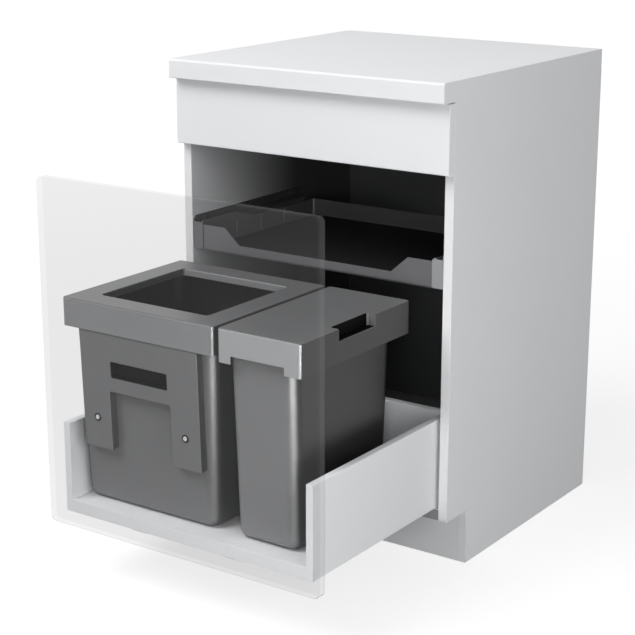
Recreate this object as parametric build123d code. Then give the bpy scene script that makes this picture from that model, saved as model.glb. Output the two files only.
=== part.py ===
from build123d import *
import os

# Pull-out trash cabinet: a base unit with a worktop, a fixed upper front, a drawer on
# full-extension runners that carries two bins, and an organiser tray above the bins.
# Millimetres. +Z is up and the fronts face -Y. The drawer stands pulled out. The pieces are drawn
# from the plane of the wall behind the cabinet, and written out with the origin on the floor in
# the middle of the whole footprint.

# Case
case_width = 600
case_depth = 566
case_height = 876
board = 18
edge_round = 1
toe_height = 106
toe_depth = 73
plinth_thickness = 16
back_thickness = 8
groove_depth = 7
wall_rail_height = 100
rear_rail_width = 100
front_rail_height = 118
wall_hole_spacing = 400
wall_hole_radius = 3

# Worktop and the fixed front under it
worktop_thickness = 36
worktop_overhang = 39
worktop_round = 5
fixed_front_thickness = 19
fixed_front_bottom = 750
fixed_front_top_gap = 2
front_side_gap = 1.5
front_round = 2

# Drawer
drawer_open = 386
drawer_front_thickness = 18
drawer_front_bottom = 108
drawer_front_gap = 2.5
drawer_stop_gap = 1
drawer_length = 450
drawer_side_thickness = 14
drawer_side_gap = 8
drawer_side_bottom = 128
drawer_side_height = 170
drawer_floor_thickness = 12
drawer_floor_recess = 11
drawer_groove = 5

# Drawer runners, under the drawer floor
steel = 1.2
slide_gap = 0.4
runner_length = 450
runner_setback = 3
runner_height = 13.2
runner_lift = 0.8
runner_flange_height = 40
runner_web_inset = 2
runner_channel_depth = 26
runner_rail_width = 10
runner_riser_gap = 3
runner_top_flange = 22
runner_screw_shares = (0.08, 0.5, 0.9)
clip_length = 46
clip_width = 30
clip_thickness = 9
clip_gap = 4

# Tray and its side runners
side_runner_room = 16
tray_depth = 380
tray_bottom = 540
tray_height = 57
tray_rear_height = 38
tray_wall = 2.5
tray_corner = 8
tray_base_round = 6
tray_front_gap = 3
tray_step_start = 110
tray_step_end = 173
tray_cut_top = 426
tray_cut_floor = 342
tray_cut_height = 20
tray_rib_start = 112
tray_rib_pitch = 80
tray_rib_count = 3
tray_rib_depth = 2
tray_rib_width = 3
tray_front_drop = 6
mat_thickness = 2
mat_gap = 1
mat_corner = 3
side_runner_length = 350
side_runner_setback = 2
side_runner_height = 36
side_runner_rise = 13
bracket_thickness = 3
bracket_height = 60
bracket_drop = 7

# Bins
bin_front_gap = 4
bin_depth = 330
bin_top = 531
bin_clearance = 0.3
bin_wall = 2.5
bin_floor = 3
bin_base_round = 17
bin_overhang = 16
bin_draft_front = 14
bin_corner = 22
rim_thickness = 3
cap_corner = 7
cap_gap = 9
large_cap_side_gap = 12
large_body_inset = 10
large_body_shift = 3
large_body_draft = 10
small_cap_side_gap = 34
small_cap_width = 171
small_body_inset_left = 8
small_body_inset_right = 25
small_body_draft = 3
cap_round = 3

# Bag frame on the large bin
frame_skirt = 52
frame_border_side = 49
frame_border_front = 49
frame_thickness = 3
frame_corner = 8
frame_lip = 13
frame_lip_width = 5
frame_dip = 3

# Handle plate on the front of the large bin
handle_side_gap = 18.5
handle_stand = 16
handle_bottom = 260
handle_leg = 72
handle_bar_bottom = 372
handle_wall = 2.5
handle_corner = 9
grip_width = 128
grip_height = 30
grip_bottom = 398
grip_corner = 3
pin_inset = 40.5
pin_height = 318
pin_radius = 7
pin_stand_out = 1.5
pin_shank = 3.5
handle_gap = 1

# Lid on the small bin
lid_skirt = 59
lid_step = 16
lid_step_inset = 20
lid_rib_depth = 10
lid_rib_pitch = 99
lid_grip_length = 112
lid_grip_depth = 18
lid_grip_drop = 28
lid_grip_setback = 108
lid_grip_round = 6

# Fasteners and brackets
screw_shank = 2.4
screw_clearance = 0.1
screw_length = 13
screw_hole_length = 14
screw_head = 5
screw_head_height = 2
screw_edge = 7
angle_leg = 28
angle_width = 40
angle_steel = 2
front_screw_places = (210, 80)
front_angle_leg = 13
front_angle_x = 100

# Places worked out from the sizes above
half_case = case_width / 2
inner_side = half_case - board
case_front = -case_depth
worktop_front = case_front - worktop_overhang
worktop_top = case_height + worktop_thickness
bottom_top = toe_height + board
back_front = -board
rail_low = case_height - wall_rail_height
closed_front_back = case_front - drawer_stop_gap
front_back = closed_front_back - drawer_open
front_face = front_back - drawer_front_thickness
drawer_rear = front_back + drawer_length
drawer_outer = inner_side - drawer_side_gap
drawer_inner = drawer_outer - drawer_side_thickness
drawer_front_top = fixed_front_bottom - drawer_front_gap
drawer_side_top = drawer_side_bottom + drawer_side_height
floor_bottom = drawer_side_bottom + drawer_floor_recess
floor_top = floor_bottom + drawer_floor_thickness
runner_front = case_front + runner_setback
runner_low = bottom_top + runner_lift
runner_web = drawer_inner - runner_web_inset
runner_open = runner_web - runner_channel_depth
tray_front = case_front + tray_front_gap
tray_rear = tray_front + tray_depth
tray_side = inner_side - side_runner_room
tray_width = 2 * tray_side
tray_top = tray_bottom + tray_height
side_runner_low = tray_bottom + side_runner_rise
side_runner_front = tray_front + side_runner_setback
bracket_low = side_runner_low - bracket_drop
bracket_face = inner_side - bracket_thickness
bin_front = front_back + bin_front_gap
bin_middle = bin_front + bin_depth / 2
bin_base = floor_top + bin_clearance
small_cap_right = inner_side - small_cap_side_gap
small_cap_left = small_cap_right - small_cap_width
small_cap_x = (small_cap_left + small_cap_right) / 2
small_body_left = small_cap_left + small_body_inset_left
small_body_right = small_cap_right - small_body_inset_right
small_body_x = (small_body_left + small_body_right) / 2
small_body_width = small_body_right - small_body_left
large_cap_left = large_cap_side_gap - inner_side
large_cap_right = small_cap_left - cap_gap
large_cap_x = (large_cap_left + large_cap_right) / 2
large_cap_width = large_cap_right - large_cap_left
large_body_x = large_cap_x - large_body_shift
large_body_width = large_cap_width - 2 * large_body_inset
handle_width = large_body_width - 2 * handle_side_gap
large_rim_top = bin_top - frame_thickness - bin_clearance
small_rim_top = bin_top - lid_grip_drop - frame_thickness - bin_clearance
handle_top = bin_top - frame_skirt - handle_gap


def block(x, y, z):
    """Solid between pairs of limits along X, Y and Z."""
    size = [high - low for low, high in (x, y, z)]
    middle = [(low + high) / 2 for low, high in (x, y, z)]
    return Pos(*middle) * Box(*size)


def area(x, y):
    """Rectangle between pairs of limits."""
    middle = Pos((x[0] + x[1]) / 2, (y[0] + y[1]) / 2)
    return middle * Rectangle(x[1] - x[0], y[1] - y[0])


def both_ways(half):
    """Limits that lie equally far to both sides of zero."""
    return (-half, half)


def run_back(profile, front, length):
    """Run a profile drawn in X and Z backwards from its front end."""
    return Pos(0, front, 0) * extrude(Plane.XZ * profile, -length)


def left_of(solid):
    """The left-hand piece of a mirrored pair."""
    return mirror(solid, about=Plane.YZ)


def both_sides(solids):
    """Right-hand solids together with their mirror images."""
    return list(solids) + [left_of(solid) for solid in solids]


def upright(x, low, high, width, depth, corner):
    """Upright prism with rounded corners that stands in the row of bins."""
    return extrude(Pos(x, bin_middle, low) * RectangleRounded(width, depth, corner), high - low)


def hole(point, direction, radius, length):
    """Cylinder that starts at a point and runs along a direction."""
    return extrude(Plane(point, z_dir=direction) * Circle(radius), length)


def screw(point, direction):
    """Pan-head screw: its head seats at the point and its shank runs along the direction."""
    seat = Plane(point, z_dir=direction)
    head = extrude(seat * Circle(screw_head), -screw_head_height)
    return head + extrude(seat * Circle(screw_shank), screw_length)


def screw_hole(point, direction):
    """Clearance hole for a screw's shank."""
    return hole(point, direction, screw_shank + screw_clearance, screw_hole_length)


# Case


def runner_screw_points():
    """Where the right drawer runner's flange is screwed to the side panel."""
    height = runner_low + runner_flange_height - screw_edge
    places = [runner_front + share * runner_length for share in runner_screw_shares]
    return [(inner_side - steel, y, height) for y in places]


def bracket_screw_points():
    """Where the right tray bracket is screwed to the side panel."""
    height = bracket_low + bracket_height - screw_edge
    places = [tray_front + share * side_runner_length for share in runner_screw_shares]
    return [(bracket_face, y, height) for y in places]


def side_panel():
    outline = Polyline(
        (0, 0),
        (case_front + toe_depth, 0),
        (case_front + toe_depth, toe_height),
        (case_front, toe_height),
        (case_front, case_height),
        (0, case_height),
        close=True,
    )
    panel = Pos(inner_side, 0, 0) * extrude(Plane.YZ * make_face(outline), board)
    panel = fillet(panel.edges().filter_by(Axis.Z).group_by(Axis.Y)[0], edge_round)
    groove_x = (inner_side, inner_side + groove_depth)
    panel -= block(groove_x, (back_front, back_front + back_thickness), (toe_height, rail_low))
    for point in runner_screw_points() + bracket_screw_points():
        panel -= screw_hole(point, (1, 0, 0))
    return panel


def bottom_panel():
    panel = block(both_ways(inner_side), (case_front, back_front), (toe_height, bottom_top))
    return fillet(panel.edges().filter_by(Axis.X).group_by(Axis.Y)[0], edge_round)


def back_panel():
    width = both_ways(inner_side + groove_depth)
    return block(width, (back_front, back_front + back_thickness), (toe_height, rail_low))


def wall_rail():
    """Rear rail with the two holes that fix the cabinet to the wall."""
    rail = block(both_ways(inner_side), (back_front, 0), (rail_low, case_height))
    for x in both_ways(wall_hole_spacing / 2):
        point = (x, back_front, rail_low + wall_rail_height / 2)
        rail -= hole(point, (0, 1, 0), wall_hole_radius, board)
    return rail


def worktop_screw_points():
    """Screws up through the rear rail into the worktop."""
    middle = back_front - rear_rail_width / 2
    return [(x, middle, case_height - board) for x in both_ways(wall_hole_spacing / 2)]


def rear_rail():
    depth = (back_front - rear_rail_width, back_front)
    rail = block(both_ways(inner_side), depth, (case_height - board, case_height))
    for point in worktop_screw_points():
        rail -= hole(point, (0, 0, 1), screw_shank + screw_clearance, board)
    return rail


def worktop_screws():
    """Long screws: their shanks pass the rear rail and end in the worktop."""
    screws = []
    for point in worktop_screw_points():
        head = screw(point, (0, 0, 1))
        screws.append(head + hole(point, (0, 0, 1), screw_shank, board + screw_length))
    return screws


def fixed_front_screw_points():
    """Screws through the front rail into the fixed front, from inside the case."""
    height = (case_height - front_rail_height + case_height) / 2
    places = [x for place in front_screw_places for x in both_ways(place)]
    return [(x, case_front + board, height) for x in places]


def front_rail():
    rail = block(
        both_ways(inner_side),
        (case_front, case_front + board),
        (case_height - front_rail_height, case_height),
    )
    for point in fixed_front_screw_points():
        rail -= hole(point, (0, -1, 0), screw_shank + screw_clearance, board)
    return rail


def fixed_front():
    panel = block(
        both_ways(half_case - front_side_gap),
        (case_front - fixed_front_thickness, case_front),
        (fixed_front_bottom, case_height - fixed_front_top_gap),
    )
    panel = fillet(panel.faces().sort_by(Axis.Y)[0].edges(), front_round)
    for x, y, z in fixed_front_screw_points():
        panel -= screw_hole((x, case_front, z), (0, -1, 0))
    return panel


def fixed_front_screws():
    screws = []
    for point in fixed_front_screw_points():
        head = screw(point, (0, -1, 0))
        screws.append(head + hole(point, (0, -1, 0), screw_shank, board + screw_length))
    return screws


def worktop_angles():
    """Steel angles in the corner between the front rail and the worktop."""
    angles = []
    for x in both_ways(wall_hole_spacing / 2):
        width = (x - angle_width / 2, x + angle_width / 2)
        depth = (case_front + board, case_front + board + angle_leg)
        angle = block(width, depth, (case_height - angle_leg, case_height))
        inside = (depth[0] + angle_steel, depth[1])
        angle -= block(width, inside, (case_height - angle_leg, case_height - angle_steel))
        angles.append(angle)
    return angles


def plinth_board():
    front = case_front + toe_depth
    return block(both_ways(inner_side), (front, front + plinth_thickness), (0, toe_height))


def worktop():
    top = block(both_ways(half_case), (worktop_front, 0), (case_height, worktop_top))
    front_edges = top.edges().filter_by(Axis.X).group_by(Axis.Y)[0].sort_by(Axis.Z)
    top = fillet(front_edges[-1], worktop_round)
    lower_edge = top.edges().filter_by(Axis.X).group_by(Axis.Y)[0].sort_by(Axis.Z)[0]
    top = fillet(lower_edge, edge_round)
    for x, y, z in worktop_screw_points():
        top -= screw_hole((x, y, case_height), (0, 0, 1))
    return top


# Drawer runners: a fixed channel, a middle channel and a rail under the drawer floor


def channel(open_x, web_x, low, high):
    """Profile of a channel whose web stands at web_x and whose mouth faces open_x."""
    way = 1 if open_x > web_x else -1
    outside = area(sorted((open_x, web_x)), (low, high))
    inside = area(sorted((open_x, web_x + way * steel)), (low + steel, high - steel))
    return outside - inside


def nested(amount):
    """Limits of the runner's height, drawn in by an amount."""
    return (runner_low + amount, runner_low + runner_height - amount)


def drawer_runner_fixed():
    low, high = nested(0)
    profile = channel(runner_open, runner_web, low, high)
    profile += area((runner_web - steel, inner_side), (low, low + steel))
    profile += area((inner_side - steel, inner_side), (low, low + runner_flange_height))
    runner = run_back(profile, runner_front, runner_length)
    for x, y, z in runner_screw_points():
        runner -= screw_hole((x, y, z), (1, 0, 0))
    return runner


def drawer_runner_middle():
    step = steel + slide_gap
    low, high = nested(step)
    profile = channel(runner_open - slide_gap, runner_web - step, low, high)
    return run_back(profile, runner_front - drawer_open / 2, runner_length)


def drawer_runner_inner():
    """Rail held by the middle channel, with a flange that carries the drawer floor."""
    low, high = nested(2 * (steel + slide_gap))
    middle = (low + high) / 2
    rail_end = runner_web - 2 * (steel + slide_gap)
    riser = runner_open - runner_riser_gap
    tongue = (middle - steel / 2, middle + steel / 2)
    profile = area((rail_end - runner_rail_width, rail_end), (low, high))
    profile += area((riser, rail_end - runner_rail_width), tongue)
    profile += area((riser - steel, riser), (tongue[0], floor_bottom))
    profile += area((riser - runner_top_flange, riser), (floor_bottom - steel, floor_bottom))
    return run_back(profile, runner_front - drawer_open, runner_length)


def locking_clip():
    """Catch under the drawer floor that holds the drawer on the front end of its runner."""
    riser = runner_open - runner_riser_gap - steel
    width = (riser - runner_top_flange - clip_width, riser - runner_top_flange)
    depth = (front_back + clip_gap, front_back + clip_gap + clip_length)
    body = block(width, depth, (floor_bottom - clip_thickness, floor_bottom))
    body = chamfer(body.edges().filter_by(Axis.X).group_by(Axis.Z)[0], clip_thickness / 2)
    finger = area((width[0] + edge_round, width[1] - edge_round), (depth[1], depth[1] + clip_length / 3))
    lever = extrude(Pos(0, 0, floor_bottom - clip_thickness / 2) * finger, edge_round)
    return body + lever


def runner_screws():
    points = runner_screw_points() + bracket_screw_points()
    return both_sides([screw(point, (1, 0, 0)) for point in points])


# Drawer


def drawer_front():
    panel = block(
        both_ways(half_case - front_side_gap),
        (front_face, front_back),
        (drawer_front_bottom, drawer_front_top),
    )
    panel = fillet(panel.edges().filter_by(Axis.Y), front_round)
    return fillet(panel.faces().sort_by(Axis.Y)[0].edges(), front_round / 2)


def floor_groove(x, y):
    """Cut that the edge of the drawer floor sits in."""
    return block(x, y, (floor_bottom, floor_top))


def drawer_side():
    panel = block(
        (drawer_inner, drawer_outer),
        (front_back, drawer_rear),
        (drawer_side_bottom, drawer_side_top),
    )
    panel = fillet(panel.edges().filter_by(Axis.Y).group_by(Axis.Z)[-1], front_round)
    return panel - floor_groove((drawer_inner, drawer_inner + drawer_groove), (front_back, drawer_rear))


def drawer_floor():
    width = both_ways(drawer_inner + drawer_groove)
    return block(width, (front_back, drawer_rear), (floor_bottom, floor_top))


def drawer_back():
    panel = block(
        both_ways(drawer_inner),
        (drawer_rear - drawer_side_thickness, drawer_rear),
        (floor_top, drawer_side_top),
    )
    return fillet(panel.edges().filter_by(Axis.X).group_by(Axis.Z)[-1], front_round)


def front_angles():
    """Steel angles under the drawer floor that hold the front panel."""
    angles = []
    for x in both_ways(front_angle_x):
        width = (x - angle_width / 2, x + angle_width / 2)
        depth = (front_back, front_back + angle_width)
        angle = block(width, depth, (floor_bottom - front_angle_leg, floor_bottom))
        inside = (front_back + angle_steel, depth[1])
        heights = (floor_bottom - front_angle_leg, floor_bottom - angle_steel)
        angles.append(angle - block(width, inside, heights))
    return angles


# Tray above the bins, with its brackets and side runners


def tray_shell():
    size = (tray_width, tray_depth)
    centre = Pos(0, tray_front + tray_depth / 2, tray_bottom)
    shell = extrude(centre * RectangleRounded(*size, tray_corner), tray_height)
    shell = fillet(shell.faces().sort_by(Axis.Z)[0].edges(), tray_base_round)
    hollow_size = [side - 2 * tray_wall for side in size]
    hollow = extrude(centre * RectangleRounded(*hollow_size, tray_corner - tray_wall), tray_height)
    hollow = fillet(hollow.faces().sort_by(Axis.Z)[0].edges(), tray_base_round - tray_wall)
    shell -= Pos(0, 0, tray_wall) * hollow
    front_cut = Polyline(
        (-tray_cut_top / 2, tray_top),
        (-tray_cut_floor / 2, tray_bottom + tray_cut_height),
        (tray_cut_floor / 2, tray_bottom + tray_cut_height),
        (tray_cut_top / 2, tray_top),
        close=True,
    )
    shell -= run_back(make_face(front_cut), tray_front, tray_step_start)
    shoulder = (tray_top - tray_front_drop, tray_top)
    shell -= block(both_ways(tray_side), (tray_front, tray_front + tray_wall), shoulder)
    rear_cut = Polyline(
        (tray_front + tray_step_start, tray_top),
        (tray_front + tray_step_end, tray_bottom + tray_rear_height),
        (tray_rear, tray_bottom + tray_rear_height),
        (tray_rear, tray_top),
        close=True,
    )
    shell -= Pos(-tray_side, 0, 0) * extrude(Plane.YZ * make_face(rear_cut), tray_width)
    for rib in tray_ribs():
        shell += rib
    return shell


def tray_ribs():
    """Upright ribs inside the side walls, for loose dividers."""
    wall = tray_side - tray_wall
    foot = tray_bottom + tray_wall + tray_base_round
    ribs = []
    for step in range(tray_rib_count):
        y = tray_front + tray_rib_start + step * tray_rib_pitch
        depth = (y, y + tray_rib_width)
        heights = (foot, tray_bottom + tray_rear_height - tray_wall)
        ribs.append(block((wall - tray_rib_depth, wall), depth, heights))
    return both_sides(ribs)


def tray_mat():
    low = tray_bottom + tray_wall
    inset = tray_base_round + mat_gap
    size = (tray_width - 2 * inset, tray_depth - 2 * inset)
    centre = Pos(0, tray_front + tray_depth / 2, low)
    return extrude(centre * RectangleRounded(*size, mat_corner), mat_thickness)


def tray_bracket():
    """Plate on the side panel that carries the tray's fixed runner."""
    depth = (tray_front, tray_front + side_runner_length)
    plate = block((bracket_face, inner_side), depth, (bracket_low, bracket_low + bracket_height))
    plate = chamfer(plate.edges().filter_by(Axis.X).group_by(Axis.Y)[0], bracket_drop)
    for point in bracket_screw_points():
        plate -= screw_hole(point, (1, 0, 0))
    return plate


def side_nested(amount):
    """Limits of the side runner's height, drawn in by an amount."""
    return (side_runner_low + amount, side_runner_low + side_runner_height - amount)


def tray_runner_fixed():
    profile = channel(tray_side + 2 * steel, bracket_face, *side_nested(0))
    return run_back(profile, side_runner_front, side_runner_length - side_runner_setback)


def tray_runner_middle():
    step = steel + slide_gap
    profile = channel(tray_side + 2 * steel, bracket_face - step, *side_nested(step))
    return run_back(profile, side_runner_front, side_runner_length - side_runner_setback)


def tray_runner_inner():
    """Channel on the tray's wall whose flanges run inside the middle channel."""
    step = steel + slide_gap
    profile = channel(bracket_face - 2 * step, tray_side, *side_nested(2 * step))
    return run_back(profile, side_runner_front, side_runner_length - side_runner_setback)


# Bins


def leaning(middle, width, draft, low):
    """Upright trapezium that is narrower at its foot by the draft on both sides."""
    half = width / 2
    outline = Polyline(
        (middle - half + draft, low),
        (middle - half, bin_top),
        (middle + half, bin_top),
        (middle + half - draft, low),
        close=True,
    )
    return make_face(outline)


def tapered(x, width, draft, low, inset):
    """Tapered, round-cornered solid of a bin's body, drawn in by an amount and rounded below."""
    depth = bin_depth - 2 * (bin_overhang + inset)
    across = leaning(x, width - 2 * inset, draft, low)
    along = leaning(bin_middle, depth, bin_draft_front, low)
    solid = run_back(across, bin_middle - bin_depth / 2, bin_depth)
    solid &= Pos(x - width, 0, 0) * extrude(Plane.YZ * along, 2 * width)
    corners = [edge for edge in solid.edges() if edge.bounding_box().size.Z > bin_base_round]
    solid = fillet(corners, bin_corner - inset)
    return fillet(solid.faces().sort_by(Axis.Z)[0].edges(), bin_base_round - inset)


def large_body(low, inset):
    return tapered(large_body_x, large_body_width, large_body_draft, low, inset)


def small_body(low, inset):
    return tapered(small_body_x, small_body_width, small_body_draft, low, inset)


def open_bin(body, cap_x, cap_width, rim_top):
    """Open bin with a floor, tapered walls and a flat rim round its mouth."""
    edge = frame_thickness + bin_clearance
    rim_size = (cap_width - 2 * edge, bin_depth - 2 * edge)
    shell = body(bin_base, 0)
    shell -= upright(cap_x, rim_top, bin_top, cap_width, bin_depth, cap_corner)
    shell += upright(cap_x, rim_top - rim_thickness, rim_top, *rim_size, cap_corner - edge)
    return shell - body(bin_base + bin_floor, bin_wall)


def cap(x, width, skirt):
    """Shallow box, open below, that sits over a bin's rim."""
    shell = upright(x, bin_top - skirt, bin_top, width, bin_depth, cap_corner)
    shell = fillet(shell.faces().sort_by(Axis.Z)[-1].edges(), cap_round)
    size = (width - 2 * frame_thickness, bin_depth - 2 * frame_thickness)
    corner = cap_corner - frame_thickness
    return shell - upright(x, bin_top - skirt, bin_top - frame_thickness, *size, corner)


def bag_frame():
    """Frame that clamps a bag on the large bin's rim."""
    frame = cap(large_cap_x, large_cap_width, frame_skirt)
    opening = (large_cap_width - 2 * frame_border_side, bin_depth - 2 * frame_border_front)
    outer = [side + 2 * frame_lip_width for side in opening]
    corners = (frame_corner, frame_corner + frame_lip_width)
    lip = (bin_top - frame_lip, bin_top)
    frame += upright(large_cap_x, *lip, *outer, corners[1])
    low = Pos(large_cap_x, bin_middle, bin_top - frame_dip) * RectangleRounded(*opening, corners[0])
    high = Pos(large_cap_x, bin_middle, bin_top) * RectangleRounded(*outer, corners[1])
    frame -= loft([low, high], ruled=True)
    return frame - upright(large_cap_x, *lip, *opening, corners[0])


def rounded_face(points, radius):
    """Face through the points with its corners rounded."""
    face = make_face(Polyline(*points, close=True))
    return fillet(face.vertices(), radius)


def handle_outline(inset):
    """Upside-down U of the handle plate, drawn in by an amount."""
    outer = handle_width / 2 - inset
    inner = outer - handle_leg + 2 * inset
    low = handle_bottom + inset
    bar = handle_bar_bottom + inset
    top = handle_top - inset
    points = [(outer, low), (outer, top), (-outer, top), (-outer, low)]
    points += [(-inner, low), (-inner, bar), (inner, bar), (inner, low)]
    return Pos(large_cap_x, 0) * rounded_face(points, handle_corner - inset)


def handle_slab(inset, stand):
    """The plate's outline, cut to a face that leans like the bin's front wall."""
    reach = bin_overhang + bin_draft_front
    return run_back(handle_outline(inset), bin_front, reach) & large_body(bin_base, -stand)


def handle_plate():
    """Hollow handle plate on the front of the large bin, open towards the bin."""
    plate = handle_slab(0, handle_stand)
    plate = chamfer(plate.faces().sort_by(Axis.Y)[0].edges(), handle_wall / 2)
    plate -= handle_slab(handle_wall, handle_stand - handle_wall)
    slot = Pos(large_cap_x, grip_bottom + grip_height / 2)
    slot *= RectangleRounded(grip_width, grip_height, grip_corner)
    plate -= run_back(slot, bin_front, bin_overhang + bin_draft_front)
    for point in pin_points():
        plate -= hole(point, (0, 1, 0), pin_shank + screw_clearance, handle_stand)
    return plate - large_body(bin_base, 0)


def pin_points():
    """Where the pins' heads seat on the leaning face of the plate."""
    share = (bin_top - pin_height) / (bin_top - bin_base)
    face = bin_front + bin_overhang - handle_stand + share * bin_draft_front
    places = [large_cap_x + offset for offset in both_ways(handle_width / 2 - pin_inset)]
    return [(x, face, pin_height) for x in places]


def handle_pins(plate):
    """Pins whose heads seat on the handle plate and whose shanks end on the bin's wall."""
    pins = []
    for point in pin_points():
        head = hole(point, (0, -1, 0), pin_radius, pin_stand_out)
        head = chamfer(head.edges().sort_by(Axis.Y)[0], pin_stand_out / 2)
        pin = head + hole(point, (0, 1, 0), pin_shank, 2 * handle_stand)
        pins.append(pin - large_body(bin_base, 0) - plate)
    return pins


def small_lid():
    """Lid with a finger recess in its right edge and stepped skirts at the front and back."""
    lid = cap(small_cap_x, small_cap_width, lid_skirt)
    right = small_cap_x + small_cap_width / 2
    grip_y = (bin_front + lid_grip_setback, bin_front + lid_grip_setback + lid_grip_length)
    grip_z = (bin_top - lid_grip_drop, bin_top)
    walls = block(
        (right - lid_grip_depth - frame_thickness, right - frame_thickness),
        (grip_y[0] - frame_thickness, grip_y[1] + frame_thickness),
        (grip_z[0] - frame_thickness, grip_z[1] - frame_thickness),
    )
    lid += walls
    for rib in lid_ribs():
        lid += rib
    notch = block((right - lid_grip_depth, right), grip_y, grip_z)
    lid -= fillet(notch.edges().filter_by(Axis.Z).group_by(Axis.X)[0], lid_grip_round)
    half_step = small_body_width / 2 - lid_step_inset
    step = (small_body_x - half_step, small_body_x + half_step)
    skirt_low = bin_top - lid_skirt
    return lid - block(step, (bin_front, bin_front + bin_depth), (skirt_low, skirt_low + lid_step))


def lid_ribs():
    """Ribs under the lid that rest on the bin's rim."""
    inner = small_cap_width / 2 - frame_thickness
    low = small_rim_top + bin_clearance
    heights = (low, bin_top - frame_thickness)
    left = small_cap_x - inner
    ribs = []
    for offset in (-lid_rib_pitch, 0, lid_rib_pitch):
        y = bin_middle + offset
        ribs.append(block((left, left + lid_rib_depth), (y, y + frame_thickness), heights))
    front = bin_front + frame_thickness
    rear = bin_front + bin_depth - frame_thickness
    for x in (small_cap_x - inner / 2, small_cap_x + inner / 2):
        width = (x, x + frame_thickness)
        ribs.append(block(width, (front, front + lid_rib_depth), heights))
        ribs.append(block(width, (rear - lid_rib_depth, rear), heights))
    return ribs


# One file for each piece, and one for each group of like fasteners

right_side = side_panel()
right_drawer_side = drawer_side()
right_fixed = drawer_runner_fixed()
right_middle = drawer_runner_middle()
right_inner = drawer_runner_inner()
right_clip = locking_clip()
right_bracket = tray_bracket()
right_tray_fixed = tray_runner_fixed()
right_tray_middle = tray_runner_middle()
right_tray_inner = tray_runner_inner()
bin_plate = handle_plate()

pieces = {
    "side_panel_left": left_of(right_side),
    "side_panel_right": right_side,
    "bottom_panel": bottom_panel(),
    "back_panel": back_panel(),
    "wall_rail": wall_rail(),
    "rear_rail": rear_rail(),
    "front_rail": front_rail(),
    "plinth_board": plinth_board(),
    "worktop": worktop(),
    "worktop_screws": Compound(worktop_screws()),
    "worktop_angles": Compound(worktop_angles()),
    "fixed_front": fixed_front(),
    "fixed_front_screws": Compound(fixed_front_screws()),
    "drawer_runner_fixed_left": left_of(right_fixed),
    "drawer_runner_fixed_right": right_fixed,
    "drawer_runner_middle_left": left_of(right_middle),
    "drawer_runner_middle_right": right_middle,
    "drawer_runner_inner_left": left_of(right_inner),
    "drawer_runner_inner_right": right_inner,
    "locking_clips": Compound([left_of(right_clip), right_clip]),
    "runner_screws": Compound(runner_screws()),
    "drawer_front": drawer_front(),
    "front_angles": Compound(front_angles()),
    "drawer_side_left": left_of(right_drawer_side),
    "drawer_side_right": right_drawer_side,
    "drawer_floor": drawer_floor(),
    "drawer_back": drawer_back(),
    "tray_bracket_left": left_of(right_bracket),
    "tray_bracket_right": right_bracket,
    "tray_runner_fixed_left": left_of(right_tray_fixed),
    "tray_runner_fixed_right": right_tray_fixed,
    "tray_runner_middle_left": left_of(right_tray_middle),
    "tray_runner_middle_right": right_tray_middle,
    "tray_runner_inner_left": left_of(right_tray_inner),
    "tray_runner_inner_right": right_tray_inner,
    "tray_shell": tray_shell(),
    "tray_mat": tray_mat(),
    "large_bin": open_bin(large_body, large_cap_x, large_cap_width, large_rim_top),
    "handle_plate": bin_plate,
    "handle_pins": Compound(handle_pins(bin_plate)),
    "bag_frame": bag_frame(),
    "small_bin": open_bin(small_body, small_cap_x, small_cap_width, small_rim_top),
    "small_lid": small_lid(),
}

to_middle = Pos(0, -front_face / 2, 0)

os.makedirs("parts", exist_ok=True)
for name, piece in pieces.items():
    export_step(to_middle * piece, f"parts/{name}.step")
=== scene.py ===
import math

import bmesh
import bpy
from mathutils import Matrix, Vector


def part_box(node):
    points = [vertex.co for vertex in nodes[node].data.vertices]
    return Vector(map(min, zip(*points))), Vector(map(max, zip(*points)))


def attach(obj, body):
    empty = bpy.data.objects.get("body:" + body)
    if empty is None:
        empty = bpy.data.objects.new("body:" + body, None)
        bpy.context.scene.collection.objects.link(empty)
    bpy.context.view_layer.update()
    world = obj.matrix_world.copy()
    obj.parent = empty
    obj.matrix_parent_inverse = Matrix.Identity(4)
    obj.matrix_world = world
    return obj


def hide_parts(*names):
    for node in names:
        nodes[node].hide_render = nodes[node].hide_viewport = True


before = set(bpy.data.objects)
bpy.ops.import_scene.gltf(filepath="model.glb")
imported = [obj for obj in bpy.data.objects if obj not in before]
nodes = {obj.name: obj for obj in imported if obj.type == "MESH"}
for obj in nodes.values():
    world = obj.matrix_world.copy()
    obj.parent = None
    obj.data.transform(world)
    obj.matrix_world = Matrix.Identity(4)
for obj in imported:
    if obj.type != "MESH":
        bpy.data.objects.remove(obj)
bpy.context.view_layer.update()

print("frame loaded")


# shader helpers

class Wire:  # a shader socket that can be written into sums
    def __init__(self, tree, socket):
        self.tree = tree
        self.socket = socket

    def sum(self, operation, *values):
        step = self.tree.nodes.new("ShaderNodeMath")
        step.operation = operation
        for place, value in enumerate(values):
            plug(self.tree, step.inputs[place], value)
        return Wire(self.tree, step.outputs[0])

    def __add__(self, other):
        return self.sum("ADD", self, other)

    def __radd__(self, other):
        return self.sum("ADD", other, self)

    def __sub__(self, other):
        return self.sum("SUBTRACT", self, other)

    def __rsub__(self, other):
        return self.sum("SUBTRACT", other, self)

    def __mul__(self, other):
        return self.sum("MULTIPLY", self, other)

    def __rmul__(self, other):
        return self.sum("MULTIPLY", other, self)

    def __gt__(self, other):
        return self.sum("GREATER_THAN", self, other)

    def __lt__(self, other):
        return self.sum("LESS_THAN", self, other)

    def __abs__(self):
        return self.sum("ABSOLUTE", self)


def plug(tree, socket, value):
    if isinstance(value, Wire):
        tree.links.new(value.socket, socket)
    elif socket.type == "RGBA" and len(value) == 3:
        socket.default_value = (*value, 1)
    else:
        socket.default_value = value


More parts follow.
